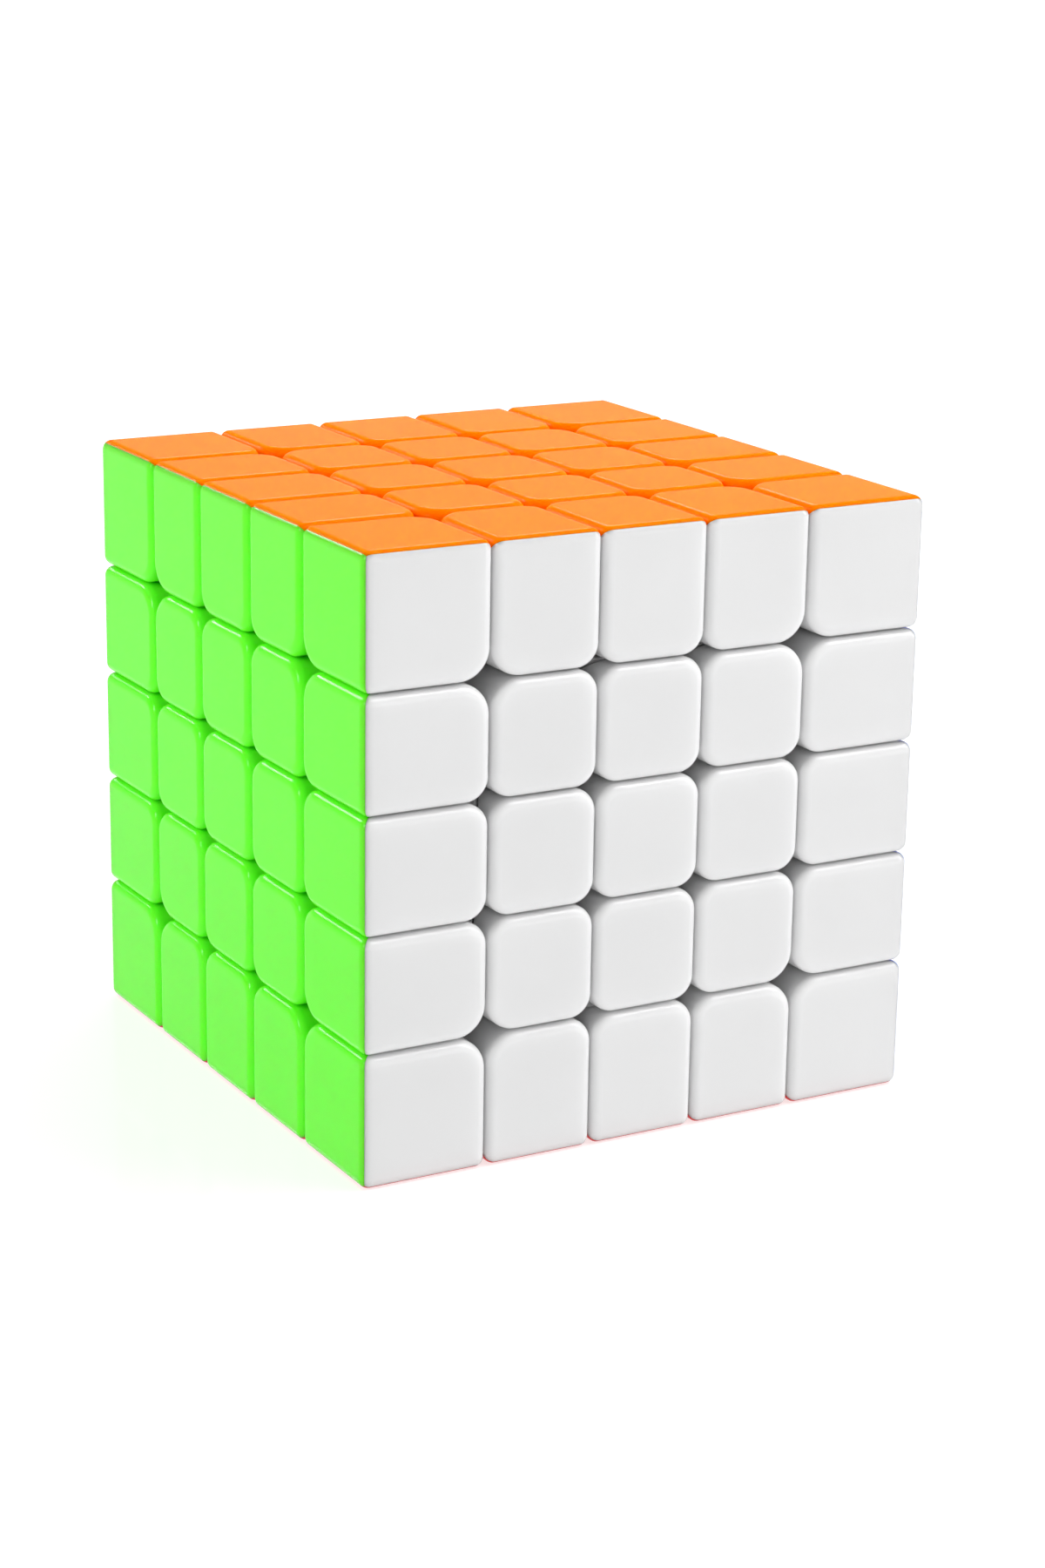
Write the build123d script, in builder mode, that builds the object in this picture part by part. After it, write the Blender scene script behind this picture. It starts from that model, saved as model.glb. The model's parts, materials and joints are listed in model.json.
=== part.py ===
"""A five-layer twisty puzzle cube, stickerless, with the pieces of its mechanism. All sizes are in millimetres.

The origin is the centre of the core, +Z is up. Orange is on top, white in front (-Y) and green on the left (-X).
Five layers turn about each axis. A layer index counts from the middle: 0 is the middle layer, 1 the next one and
2 the outer one. A kind of piece is named by its three indices. Each kind is made once, where its Z index is 2,
and then turned to its other places.

Two surfaces of revolution part the layers about each axis: a plane near the outside of the cube and a cone
further in, with a step at the groove ball. A foot has a flange on each side of that step, so it grips its
neighbours' feet. Everything in a layer stays on its own side of these surfaces, so any layer can turn.
"""

from build123d import *
from math import hypot, sqrt
import os

# Overall sizes
cube_size = 62.0
inner_layer = 11.7
layer_gap = 0.15

# Outer shells and caps
wall = 1.1
edge_round = 1.0
junction_round = 2.4
corner_junction_round = 3.2
least_round = 0.5
cap_depth = 9.0
shell_fit = 0.05

# Layer cones: the height at which each one meets the groove ball, above and below its step, as the sine of
# a latitude
outer_sine_above = 0.46
middle_sine_above = 0.24
outer_sine_below = 0.40
middle_sine_below = 0.1736
outer_cone_end = 28.3
middle_cone_slope = 0.25

# Feet
groove_radius = 18.0
upper_flange = 1.9
lower_flange = 2.5
plate_thickness = 2.2
plug_size = 4.4
corner_stem_radius = 1.9
edge_stem_radius = 2.2
slim_stem_radius = 1.25
stem_foot_sine = 0.32
stem_head_lean = 2.3
wing_stem_head_lean = 1.2
stem_bite = 0.6

# Core, screws, springs and washers
core_ball_radius = 6.5
core_leg_radius = 3.4
core_clearance = 0.3
screw_radius = 1.25
screw_head_radius = 2.5
screw_head_height = 1.6
screw_head_round = 0.5
screw_start = 7.0
screw_end_room = 0.5
screw_slot_width = 0.8
screw_slot_length = 3.2
screw_slot_depth = 0.9
running_clearance = 0.1
thread_clearance = 0.02
seat_gap = 0.05
shelf_thickness = 0.9
chamber_clearance = 0.35
hub_wall = 1.05
hub_neck_radius = 2.75
spring_radius = 2.2
spring_wire = 0.5
spring_length = 5.4
spring_turns = 5
washer_radius = 2.6
washer_thickness = 0.4

# What follows from the sizes above
half = cube_size / 2
gap = layer_gap / 2
middle_edge = inner_layer / 2
outer_edge = middle_edge + inner_layer
cap_bottom = half - cap_depth
plate_top = cap_bottom + plate_thickness
plug_start = outer_edge + gap + wall
plug_end = plug_start + plug_size
reach = 2 * cube_size
ball_below = groove_radius - gap
ball_above = groove_radius + gap
foot_bottom = groove_radius - lower_flange
foot_top = groove_radius + upper_flange
leg_end = foot_bottom - core_clearance
screw_bore_start = screw_start - screw_end_room
chamber_radius = washer_radius + chamber_clearance
shelf_top = groove_radius + shelf_thickness
washer_start = shelf_top + seat_gap
spring_start = washer_start + washer_thickness
upper_washer_start = spring_start + spring_length
screw_head_start = upper_washer_start + washer_thickness

# The kinds of piece, by their layer index about X, Y and Z
corner = (2, 2, 2)
wing = (1, 2, 2)
edge = (0, 2, 2)
diagonal_centre = (1, 1, 2)
side_centre = (1, 0, 2)
fixed_centre = (0, 0, 2)

layer_names = {2: "top", 1: "upper", 0: "middle", -1: "lower", -2: "bottom"}
face_colours = {
    (0, 0, 1): "orange",
    (0, 0, -1): "red",
    (0, -1, 0): "white",
    (0, 1, 0): "yellow",
    (-1, 0, 0): "green",
    (1, 0, 0): "blue",
}

# The turn that carries +Z to each axis
turn_to_axis = {"X": (Axis.Y, 90), "Y": (Axis.X, -90), "Z": (Axis.Z, 0)}


def cone_from_ball(sine, slope):
    """(apex height, slope) of a cone that meets the groove ball at a latitude and then rises outwards."""
    return groove_radius * (sine - slope * sqrt(1 - sine**2)), slope


def cone_to_rim(sine, rim_radius, rim_height):
    """(apex height, slope) of a cone from the groove ball at a latitude to a rim."""
    slope = (rim_height - groove_radius * sine) / (rim_radius - groove_radius * sqrt(1 - sine**2))
    return cone_from_ball(sine, slope)


def radial_cone(sine):
    """(apex height, slope) of a cone with its apex at the centre."""
    return cone_from_ball(sine, sine / sqrt(1 - sine**2))


# The cone on the inner side of layer 1 and of layer 2
cones_above = {
    1: cone_from_ball(middle_sine_above, middle_cone_slope),
    2: cone_to_rim(outer_sine_above, outer_cone_end, outer_edge),
}
cones_below = {1: radial_cone(middle_sine_below), 2: radial_cone(outer_sine_below)}


def shifted(cone, distance):
    """A cone moved outwards, along its normal."""
    apex, slope = cone
    return apex + distance * hypot(1, slope), slope


def turned_outline(points, letter):
    """The body that an outline of (radius, height) points makes as it turns about X, Y or Z."""
    with BuildPart() as body:
        with BuildSketch(Plane.XZ):
            with BuildLine():
                Polyline(*points, close=True)
            make_face()
        revolve(axis=Axis.Z)
    axis, angle = turn_to_axis[letter]
    return body.part.rotate(axis, angle)


def layer_room(cones, index, letter, inset=0.0):
    """The room of one layer between its cones, less half of the layer gap and an inset."""
    low, low_slope = shifted(cones[max(index, 1)], gap + inset)
    high, high_slope = shifted(cones[min(index + 1, 2)], -gap - inset)
    if index == 0:
        low, low_slope = -high, -high_slope
    if index == 2:
        high, high_slope = reach, 0.0
    start = [(0, high), (0, low)]
    if low > high:
        meeting_radius = (low - high) / (high_slope - low_slope)
        start = [(meeting_radius, low + low_slope * meeting_radius)]
    end = [(reach, low + low_slope * reach), (reach, high + high_slope * reach)]
    return turned_outline(start + end, letter)


def room_below(index, letter, inset):
    """The room under the outer cones of layer 0 or 1. In layer 0 it lies between the cones on both sides."""
    if index == 0:
        return layer_room(cones_above, 0, letter, inset)
    top, slope = shifted(cones_above[2], -gap - inset)
    return turned_outline([(0, -reach), (reach, -reach), (reach, top + slope * reach), (0, top)], letter)


def span(index, inset):
    """Where a piece starts and ends across a layer, with an inset from its own walls."""
    if index == 0:
        return inset + gap - middle_edge, middle_edge - gap - inset
    if index == 1:
        return middle_edge + gap + inset, outer_edge - gap - inset
    return outer_edge + gap + inset, half - inset


def tile(across, along, inset):
    """Draws one piece's outline on a face of the cube. Corners where four pieces meet are round, the others sharp."""
    x_span, y_span = span(across, inset), span(along, inset)
    with Locations((sum(x_span) / 2, sum(y_span) / 2)):
        Rectangle(x_span[1] - x_span[0], y_span[1] - y_span[0])
    for x_end in (0, 1):
        for y_end in (0, 1):
            if (across == 2 and x_end == 1) or (along == 2 and y_end == 1):
                continue
            by_corner = across + x_end == 2 and along + y_end == 2
            radius = corner_junction_round if by_corner else junction_round
            meeting = vertices().sort_by_distance((x_span[x_end], y_span[y_end], 0))[0]
            fillet(meeting, radius=max(radius - inset, least_round))


def column(plane, across, along, inset, height):
    """A piece's outline on one plane, drawn out along the plane's normal."""
    with BuildPart() as body:
        with BuildSketch(plane):
            tile(across, along, inset)
        extrude(amount=height)
    return body.part


def common(block, rooms):
    """What a block and all of the rooms share."""
    with BuildPart() as body:
        add(block)
        for room in rooms:
            add(room, mode=Mode.INTERSECT)
    return body.part


def centre_block(kind, inset, bottom, top):
    """The room of a centre piece between two heights."""
    across, along, _ = kind
    outline = column(Plane.XY.offset(bottom), across, along, inset, top - bottom)
    return common(outline, [room_below(across, "X", inset), room_below(along, "Y", inset)])


def edge_block(kind, inset):
    """The room of an edge or corner piece."""
    across = kind[0]
    start, end = span(2, inset)
    depth = end - start
    rooms = [column(Plane.XZ.offset(-end), across, 2, inset, depth)]
    if across == 2:
        rooms.append(column(Plane.YZ.offset(start), 2, 2, inset, depth))
    if across == 1:
        rooms.append(room_below(1, "X", inset))
    return common(column(Plane.XY.offset(start), across, 2, inset, depth), rooms)


def flange(kind, cones, inner_radius, outer_radius):
    """One step of a foot: a piece of a hollow ball, trimmed to the piece's three layers."""
    with BuildPart() as ball:
        Sphere(outer_radius)
        Sphere(inner_radius, mode=Mode.SUBTRACT)
    return common(ball.part, [layer_room(cones, index, letter) for index, letter in zip(kind, "XYZ")])


def flanges(kind):
    """Both steps of a foot, below and above the groove ball."""
    lower = flange(kind, cones_below, foot_bottom, ball_below)
    upper = flange(kind, cones_above, ball_above, foot_top)
    return [lower, upper]


def stem_ends(kind):
    """Where a foot's stem starts, in the lower flange, and where it ends, in the plate or plug.

    In layer 1 the end leans from the middle of the layer towards the core.
    """
    outer_count = kind.count(2)
    sines = [stem_foot_sine if index == 1 else 0.0 for index in kind]
    rest = sqrt((1 - sum(sine**2 for sine in sines)) / outer_count)
    foot_distance = ball_below - stem_bite
    start = [foot_distance * (rest if index == 2 else sine) for index, sine in zip(kind, sines)]
    head = (plug_start + plug_end) / 2
    side = inner_layer - wing_stem_head_lean
    if outer_count == 1:
        head = cap_bottom + plate_thickness / 3
        side = inner_layer - stem_head_lean
    end = [head if index == 2 else side * index for index in kind]
    return Vector(*start), Vector(*end)


def stem(kind, clearance=0.0):
    """A round stem from a foot's flanges to the plate or plug above it."""
    radius = {corner: corner_stem_radius, edge: edge_stem_radius}.get(kind, slim_stem_radius)
    start, end = stem_ends(kind)
    with BuildPart() as body:
        with BuildSketch(Plane(origin=start, z_dir=end - start)):
            Circle(radius + clearance)
        extrude(amount=(end - start).length)
    return body.part


def plug(kind):
    """The part of a foot that fills the inner end of its shells or cap."""
    inset = wall + shell_fit
    if kind.count(2) == 1:
        return centre_block(kind, inset, cap_bottom, plate_top)
    with BuildPart() as inner_end:
        Box(2 * plug_end, 2 * plug_end, 2 * plug_end)
    return common(edge_block(kind, inset), [inner_end.part])


def foot(kind):
    """A foot: two flanges that grip the neighbours' feet, a stem, and the plug that holds the shells."""
    pieces = [*flanges(kind), stem(kind), plug(kind)]
    with BuildPart() as body:
        for piece in pieces:
            add(piece)
    return body.part


def hub():
    """The foot of a fixed centre: it turns on its screw, and holds the spring in a round chamber."""
    boss_start = ball_above + gap
    with BuildPart() as boss:
        with BuildSketch(Plane.XY.offset(boss_start)):
            Circle(chamber_radius + hub_wall)
        extrude(amount=plate_top - boss_start)
    rooms = [layer_room(cones_above, 0, "X"), layer_room(cones_above, 0, "Y")]
    pieces = [*flanges(fixed_centre), common(boss.part, rooms), plug(fixed_centre)]
    neck_start = foot_bottom + lower_flange / 2
    with BuildPart() as body:
        for piece in pieces:
            add(piece)
        with BuildSketch(Plane.XY.offset(neck_start)):
            Circle(hub_neck_radius)
        extrude(amount=shelf_top - neck_start)
        with BuildSketch(Plane.XY.offset(shelf_top)):
            Circle(chamber_radius)
        extrude(amount=half, mode=Mode.SUBTRACT)
        with BuildSketch(Plane.XY):
            Circle(screw_radius + running_clearance)
        extrude(amount=half, mode=Mode.SUBTRACT)
    return body.part


def rounded(block, outer_axes):
    """A block with every edge of its outer faces rounded. The outer faces are the last ones along the axes."""
    with BuildPart() as body:
        add(block)
        outer_edges = [edge for axis in outer_axes for edge in body.faces().sort_by(axis)[-1].edges()]
        fillet(set(outer_edges), radius=edge_round)
    return body.part


def cap(kind):
    """The coloured cap of a centre piece: a hollow box, open towards the core."""
    outside = rounded(centre_block(kind, 0.0, cap_bottom, half), [Axis.Z])
    inside = centre_block(kind, wall, cap_bottom - wall, half - wall)
    with BuildPart() as body:
        add(outside)
        add(inside, mode=Mode.SUBTRACT)
    return body.part


def skirt(kind, above_back):
    """The wedge that closes an edge piece's shell against the layer cone, as deep as the caps beside it go."""
    outer_letter = "Y" if above_back else "Z"
    plane = Plane.XY if above_back else Plane(origin=(0, 0, 0), x_dir=(-1, 0, 0), z_dir=(0, 1, 0))
    start, end = span(kind[0], 0.0)
    edge_start, _ = span(2, 0.0)
    middle = (start + end) / 2 if above_back else -(start + end) / 2
    with BuildPart() as wedge:
        with BuildSketch(plane.offset(cap_bottom)):
            with Locations((middle, edge_start / 2)):
                Rectangle(end - start, edge_start)
        extrude(amount=outer_cone_end - cap_bottom)
    rooms = [layer_room(cones_above, 2, outer_letter)]
    if kind == wing:
        rooms.append(room_below(1, "X", 0.0))
    return common(wedge.part, rooms)


def shell(kind, above_back=True):
    """One coloured shell of an edge or corner piece, for its top or else its back face. Shells meet on mitres."""
    outer_axes = [Axis.Y, Axis.Z]
    mitre_normals = [(0, -1, 1) if above_back else (0, 1, -1)]
    if kind == corner:
        outer_axes.append(Axis.X)
        mitre_normals.append((-1, 0, 1))
    outside = rounded(edge_block(kind, 0.0), outer_axes)
    hollows = [edge_block(kind, wall), stem(kind, shell_fit)]
    wedges = [] if kind == corner else [skirt(kind, above_back)]
    with BuildPart() as body:
        add(outside)
        for hollow in hollows:
            add(hollow, mode=Mode.SUBTRACT)
        for wedge in wedges:
            add(wedge)
        for normal in mitre_normals:
            split(bisect_by=Plane(origin=(0, 0, 0), z_dir=normal), keep=Keep.TOP)
    return body.part


def core():
    """The core: a ball with six legs, each bored for a screw."""
    with BuildPart() as body:
        Sphere(core_ball_radius)
        for plane in (Plane.XY, Plane.XZ, Plane.YZ):
            with BuildSketch(plane.offset(-leg_end)):
                Circle(core_leg_radius)
            extrude(amount=2 * leg_end)
        for plane in (Plane.XY, Plane.XZ, Plane.YZ):
            for side in (plane, Plane(origin=(0, 0, 0), x_dir=plane.x_dir, z_dir=-plane.z_dir)):
                with BuildSketch(side.offset(screw_bore_start)):
                    Circle(screw_radius + thread_clearance)
                extrude(amount=leg_end, mode=Mode.SUBTRACT)
        Sphere(leg_end, mode=Mode.INTERSECT)
    return body.part


def screw():
    """A screw with a round head and a cross slot."""
    head_top = screw_head_start + screw_head_height
    with BuildPart() as body:
        with BuildSketch(Plane.XY.offset(screw_start)):
            Circle(screw_radius)
        extrude(amount=screw_head_start - screw_start)
        with BuildSketch(Plane.XY.offset(screw_head_start)):
            Circle(screw_head_radius)
        extrude(amount=screw_head_height)
        fillet(body.faces().sort_by(Axis.Z)[-1].edges(), radius=screw_head_round)
        with BuildSketch(Plane.XY.offset(head_top)):
            Rectangle(screw_slot_length, screw_slot_width)
            Rectangle(screw_slot_width, screw_slot_length)
        extrude(amount=-screw_slot_depth, mode=Mode.SUBTRACT)
    return body.part


def spring():
    """A coil spring that stands between two washers."""
    rise = spring_length - spring_wire - 2 * thread_clearance
    with BuildPart() as body:
        with BuildLine(Plane.XY.offset(spring_start + spring_wire / 2 + thread_clearance)) as path:
            Helix(pitch=rise / spring_turns, height=rise, radius=spring_radius)
        with BuildSketch(Plane(origin=path.line @ 0, z_dir=path.line % 0)):
            Circle(spring_wire / 2)
        sweep(is_frenet=True)
    return body.part


def washers():
    """The two washers of one screw, under its head and on the hub's shelf."""
    with BuildPart() as body:
        for height in (washer_start, upper_washer_start):
            with BuildSketch(Plane.XY.offset(height)):
                Circle(washer_radius)
                Circle(screw_radius + running_clearance, mode=Mode.SUBTRACT)
            extrude(amount=washer_thickness)
    return body.part


def cube_turns():
    """The 24 turns that carry the cube onto itself."""
    tilts = [Rotation(90 * step, 0, 0) for step in range(4)] + [Rotation(0, 90, 0), Rotation(0, -90, 0)]
    return [tilt * Rotation(0, 0, 90 * step) for tilt in tilts for step in range(4)]


def after_turn(turn, direction):
    """Where a turn takes a direction of whole numbers."""
    return tuple(round(value) for value in (turn * Location(direction)).position)


nodes = {}


def place(piece, kind, node_name, face=None):
    """Puts a copy of a piece in each of its places, in the node that its layer and the colour of its face give."""
    taken = set()
    for turn in cube_turns():
        spot = after_turn(turn, kind)
        facing = after_turn(turn, face) if face else None
        if (spot, facing) in taken:
            continue
        taken.add((spot, facing))
        name = node_name(layer_names[spot[2]], face_colours.get(facing))
        nodes.setdefault(name, []).append(piece.moved(turn))


def shells_named(label):
    """Names a shell's node: by its kind on the orange and red faces, and by its row on the four sides."""
    def node_name(layer, colour):
        return f"{colour}_{label}" if colour in ("orange", "red") else f"{colour}_{layer}_row_shells"
    return node_name


def in_layer(label):
    """Names a node of inner pieces by their layer."""
    return lambda layer, colour: f"{layer}_{label}"


up, back = (0, 0, 1), (0, 1, 0)
place(shell(corner), corner, shells_named("corner_shells"), up)
place(shell(wing), wing, shells_named("wing_shells"), up)
place(shell(wing, above_back=False), wing, shells_named("wing_shells"), back)
place(shell(edge), edge, shells_named("edge_shells"), up)
place(cap(diagonal_centre), diagonal_centre, shells_named("ring_caps"), up)
place(cap(side_centre), side_centre, shells_named("ring_caps"), up)
place(cap(fixed_centre), fixed_centre, lambda layer, colour: f"{colour}_centre_cap", up)

place(foot(corner), corner, in_layer("corner_feet"))
place(foot(wing), wing, in_layer("wing_feet"))
place(foot(edge), edge, in_layer("edge_feet"))
place(foot(diagonal_centre), diagonal_centre, in_layer("diagonal_centre_feet"))
place(foot(side_centre), side_centre, in_layer("side_centre_feet"))
place(hub(), fixed_centre, in_layer("centre_hub"))

place(screw(), fixed_centre, lambda layer, colour: "centre_screws")
place(spring(), fixed_centre, lambda layer, colour: "centre_springs")
place(washers(), fixed_centre, lambda layer, colour: "spring_washers")
nodes["core"] = [core()]

os.makedirs("parts", exist_ok=True)
for name, pieces in nodes.items():
    with BuildPart() as node:
        add(pieces)
    node.part.label = name
    export_step(node.part, f"parts/{name}.step", write_pcurves=False)
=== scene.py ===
"""A twisty puzzle cube on a plain white floor, in soft studio light. All sizes are in metres."""

import json
from math import cos, radians, sin

import bpy
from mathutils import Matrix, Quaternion, Vector


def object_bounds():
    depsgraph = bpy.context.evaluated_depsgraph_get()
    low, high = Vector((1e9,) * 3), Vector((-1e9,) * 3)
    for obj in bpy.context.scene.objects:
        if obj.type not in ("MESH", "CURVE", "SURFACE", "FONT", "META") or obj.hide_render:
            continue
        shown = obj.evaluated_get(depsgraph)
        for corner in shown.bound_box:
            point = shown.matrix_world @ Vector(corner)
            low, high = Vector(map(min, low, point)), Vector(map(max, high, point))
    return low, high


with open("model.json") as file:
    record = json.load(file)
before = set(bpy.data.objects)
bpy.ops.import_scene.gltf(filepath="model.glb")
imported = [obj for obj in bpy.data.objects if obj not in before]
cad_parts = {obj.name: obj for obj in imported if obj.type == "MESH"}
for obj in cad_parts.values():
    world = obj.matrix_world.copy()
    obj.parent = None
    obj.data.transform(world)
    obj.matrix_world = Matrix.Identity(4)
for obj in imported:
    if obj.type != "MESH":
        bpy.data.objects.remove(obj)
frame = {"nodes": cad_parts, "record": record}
cad_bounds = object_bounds()

low_corner, high_corner = (Vector(corner) for corner in cad_bounds)
cube_size = high_corner.z - low_corner.z
half = cube_size / 2

# Camera, as seen from the cube's centre
camera_azimuth = radians(29.6)
camera_elevation = radians(16.3)
camera_distance = 11.12 * half
camera_roll = radians(0.94)
camera_lens = 75.7  # millimetres
camera_aim = Vector((0.069, -0.066, -0.080)) * half

# Plastics of the shells: linear red, green and blue, and how strongly the surface shines
plastics = {
    "orange": ((0.94, 0.172, 0.0), 0.01),
    "red": ((0.62, 0.012, 0.014), 0.15),
    "white": ((0.81, 0.81, 0.814), 0.5),
    "yellow": ((0.95, 0.76, 0.01), 0.2),
    "green": ((0.135, 0.95, 0.025), 0.15),
    "blue": ((0.008, 0.10, 0.58), 0.15),
}

# Softboxes that face the cube's centre: place, then width and height, all in half cubes, and power in watts
softboxes = {
    "top_panel": ((6.6, -3.5, 11.8), (9, 9), 1.45),
    "right_strip": ((14, -7, 9), (1.6, 7), 0.7),
    "left_strip": ((-15, -2, 9), (2.4, 7), 1.2),
    "back_strip": ((-5, 15, 8.5), (6, 2.4), 0.6),
    "back_panel": ((7, 13, 10), (6, 4), 0.9),
}

# Glow of the room's walls and ceiling, and the heights on a unit sphere between which one fades to the other
wall_glow = 0.97
ceiling_glow = 0.27
wall_top = 0.04
ceiling_start = 0.38


def new_material(name):
    """A material with nodes, its tree, and its shader."""
    material = bpy.data.materials.new(name)
    material.use_nodes = True
    return material, material.node_tree, material.node_tree.nodes["Principled BSDF"]


def add_node(tree, kind, inputs=None, **settings):
    """A new node with its settings, and with its inputs set to values or linked to sockets."""
    node = tree.nodes.new(kind)
    for key, value in settings.items():
        setattr(node, key, value)
    for key, value in (inputs or {}).items():
        if isinstance(value, bpy.types.NodeSocket):
            tree.links.new(value, node.inputs[key])
        else:
            node.inputs[key].default_value = value
    return node


def object_place(tree):
    """The coordinates of a point on its own object."""
    return add_node(tree, "ShaderNodeTexCoord").outputs["Object"]


def noise(tree, place, scale, detail=2.0, roughness=0.5):
    """Noise over a place, with so many waves to the metre."""
    inputs = {"Vector": place, "Scale": scale, "Detail": detail, "Roughness": roughness}
    return add_node(tree, "ShaderNodeTexNoise", inputs).outputs["Fac"]


def spread(tree, value, low, high):
    """Noise carried from its usual range to another."""
    inputs = {"Value": value, "From Min": 0.3, "From Max": 0.7, "To Min": low, "To Max": high}
    return add_node(tree, "ShaderNodeMapRange", inputs).outputs["Result"]


def bump(tree, height, strength, distance, under=None):
    """A normal bumped by a height, over another bumped normal where one is given."""
    inputs = {"Height": height, "Strength": strength, "Distance": distance}
    if under is not None:
        inputs["Normal"] = under
    return add_node(tree, "ShaderNodeBump", inputs).outputs["Normal"]


def colour_grey(tree, shader, tone):
    """Gives the shader a grey base colour of a tone that varies."""
    grey = add_node(tree, "ShaderNodeCombineColor", {"Red": tone, "Green": tone, "Blue": tone})
    tree.links.new(grey.outputs["Color"], shader.inputs["Base Color"])


def shell_plastic(name, colour, shine):
    """Moulded stickerless plastic: coloured through, smooth, with faint flow marks and handling haze."""
    material, tree, shader = new_material(name)
    place = object_place(tree)
    drift = spread(tree, noise(tree, place, scale=55.0, detail=3.0), low=0.985, high=1.015)
    tint = add_node(tree, "ShaderNodeMix", data_type="RGBA", blend_type="MULTIPLY")
    tint.inputs["Factor"].default_value = 1.0
    tint.inputs["A"].default_value = (*colour, 1.0)
    tree.links.new(drift, tint.inputs["B"])
    tree.links.new(tint.outputs["Result"], shader.inputs["Base Color"])

    haze = spread(tree, noise(tree, place, scale=140.0, detail=5.0, roughness=0.6), low=0.16, high=0.21)
    tree.links.new(haze, shader.inputs["Roughness"])

    flow = noise(tree, place, scale=90.0, detail=1.0)
    flow_normal = bump(tree, flow, strength=0.10, distance=0.0004)
    grain = noise(tree, place, scale=5200.0, detail=3.0)
    grain_normal = bump(tree, grain, strength=0.12, distance=0.00002, under=flow_normal)
    tree.links.new(grain_normal, shader.inputs["Normal"])

    shader.inputs["IOR"].default_value = 1.5
    shader.inputs["Specular IOR Level"].default_value = shine
    shader.inputs["Subsurface Weight"].default_value = 0.85
    shader.inputs["Subsurface Radius"].default_value = colour
    shader.inputs["Subsurface Scale"].default_value = 0.0028
    return material


def foot_plastic():
    """Pale grey nylon of the feet, with a fine moulded grain."""
    material, tree, shader = new_material("foot_nylon")
    place = object_place(tree)
    tone = noise(tree, place, scale=300.0, detail=4.0)
    colour_grey(tree, shader, spread(tree, tone, low=0.80, high=0.86))
    haze = noise(tree, place, scale=900.0)
    tree.links.new(spread(tree, haze, low=0.42, high=0.55), shader.inputs["Roughness"])
    grain = noise(tree, place, scale=4000.0)
    tree.links.new(bump(tree, grain, strength=0.2, distance=0.00003), shader.inputs["Normal"])
    return material


def core_plastic():
    """Pale acetal of the core."""
    material, tree, shader = new_material("core_acetal")
    place = object_place(tree)
    tone = noise(tree, place, scale=200.0, detail=3.0)
    colour_grey(tree, shader, spread(tree, tone, low=0.62, high=0.68))
    haze = noise(tree, place, scale=700.0)
    tree.links.new(spread(tree, haze, low=0.35, high=0.45), shader.inputs["Roughness"])
    return material


def steel(name, tone, roughness):
    """Steel of a tone and roughness, with fine marks from drawing or stamping."""
    material, tree, shader = new_material(name)
    place = object_place(tree)
    marks = noise(tree, place, scale=2500.0, detail=4.0)
    haze = spread(tree, marks, low=roughness - 0.06, high=roughness + 0.08)
    tree.links.new(haze, shader.inputs["Roughness"])
    shade = noise(tree, place, scale=400.0)
    colour_grey(tree, shader, spread(tree, shade, low=tone - 0.03, high=tone + 0.03))
    shader.inputs["Metallic"].default_value = 1.0
    return material


def dress_nodes():
    """Gives each CAD node the material of its record slot."""
    materials = {}
    for name, (colour, shine) in plastics.items():
        materials[f"{name}_plastic"] = shell_plastic(f"{name}_shell", colour, shine)
    materials["foot_plastic"] = foot_plastic()
    materials["core_plastic"] = core_plastic()
    materials["screw_steel"] = steel("plated_screw", tone=0.55, roughness=0.28)
    materials["spring_steel"] = steel("drawn_spring_wire", tone=0.48, roughness=0.33)
    materials["washer_steel"] = steel("stamped_washer", tone=0.60, roughness=0.30)
    for part in frame["record"]["subparts"]:
        node = frame["nodes"][part["node"]]
        for slot in node.material_slots:
            slot.material = materials[part["material_slot"]]


def add_floor():
    """A white glossy light table: it glows by itself, and shows a faint reflection of the cube."""
    bpy.ops.mesh.primitive_plane_add(size=400 * cube_size, location=(0, 0, low_corner.z))
    floor = bpy.context.object
    floor.name = "studio_floor"
    material, tree, shader = new_material("white_acrylic_floor")
    place = object_place(tree)
    haze = noise(tree, place, scale=30.0)
    tree.links.new(spread(tree, haze, low=0.10, high=0.14), shader.inputs["Roughness"])
    shader.inputs["Base Color"].default_value = (0.35, 0.35, 0.35, 1.0)
    shader.inputs["Specular IOR Level"].default_value = 0.35
    shader.inputs["Emission Color"].default_value = (1.0, 1.0, 1.0, 1.0)
    shader.inputs["Emission Strength"].default_value = 0.72
    floor.data.materials.append(material)


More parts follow.
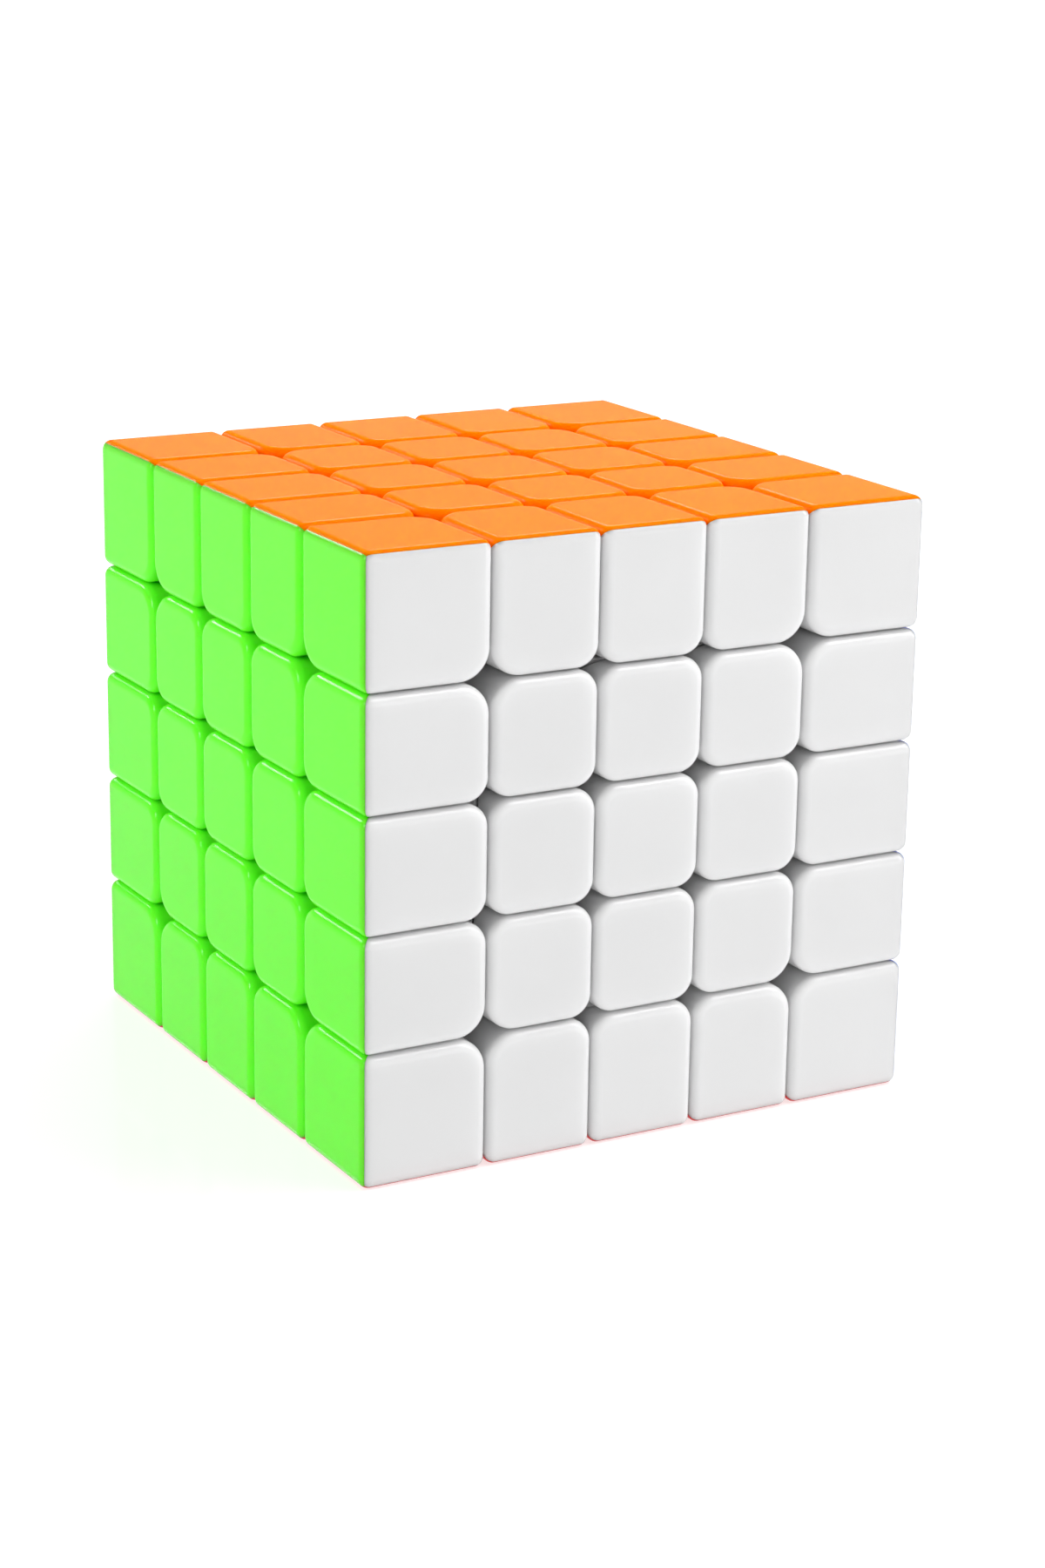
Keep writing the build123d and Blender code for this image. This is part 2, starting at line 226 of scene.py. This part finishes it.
def add_softbox(name, place, size, power):
    """A rectangular area light that faces the cube's centre, and that the camera doesn't see directly."""
    light = bpy.data.lights.new(name, "AREA")
    light.shape = "RECTANGLE"
    light.size, light.size_y = (side * half for side in size)
    light.energy = power
    lamp = bpy.data.objects.new(name, light)
    lamp.location = Vector(place) * half
    lamp.rotation_euler = (-lamp.location).to_track_quat("-Z", "Y").to_euler()
    lamp.visible_camera = False
    bpy.context.collection.objects.link(lamp)


def add_lights():
    """Softboxes, which draw bright lines on the rounded edges, and a little soft light from overhead."""
    overhead = bpy.data.lights.new("overhead_light", "SUN")
    overhead.angle = radians(100)
    overhead.energy = 0.2
    sky = bpy.data.objects.new("overhead_light", overhead)
    sky.rotation_euler = (radians(8), radians(-6), 0)
    bpy.context.collection.objects.link(sky)
    for name, (place, size, power) in softboxes.items():
        add_softbox(name, place, size, power)


def add_room():
    """A white room, bright at the horizon and dimmer overhead."""
    world = bpy.data.worlds.new("white_room")
    world.use_nodes = True
    tree = world.node_tree
    direction = add_node(tree, "ShaderNodeTexCoord").outputs["Generated"]
    height = add_node(tree, "ShaderNodeSeparateXYZ", {"Vector": direction}).outputs["Z"]
    fade = {
        "Value": height,
        "From Min": wall_top,
        "From Max": ceiling_start,
        "To Min": wall_glow,
        "To Max": ceiling_glow,
    }
    glow = add_node(tree, "ShaderNodeMapRange", fade, interpolation_type="SMOOTHSTEP").outputs["Result"]
    background = tree.nodes["Background"]
    background.inputs["Color"].default_value = (1.0, 1.0, 1.0, 1.0)
    tree.links.new(glow, background.inputs["Strength"])
    bpy.context.scene.world = world
    bpy.context.scene.view_settings.view_transform = "Standard"


def add_camera():
    """The camera, at its distance from the point it looks at."""
    data = bpy.data.cameras.new("camera")
    data.lens = camera_lens
    data.clip_start = 0.01
    camera = bpy.data.objects.new("camera", data)
    flat = cos(camera_elevation)
    back = Vector((-sin(camera_azimuth) * flat, -cos(camera_azimuth) * flat, sin(camera_elevation)))
    camera.location = camera_aim + back * camera_distance
    camera.rotation_mode = "QUATERNION"
    camera.rotation_quaternion = (-back).to_track_quat("-Z", "Y") @ Quaternion((0, 0, 1), camera_roll)
    bpy.context.collection.objects.link(camera)
    bpy.context.scene.camera = camera


dress_nodes()
add_floor()
add_lights()
add_room()
add_camera()
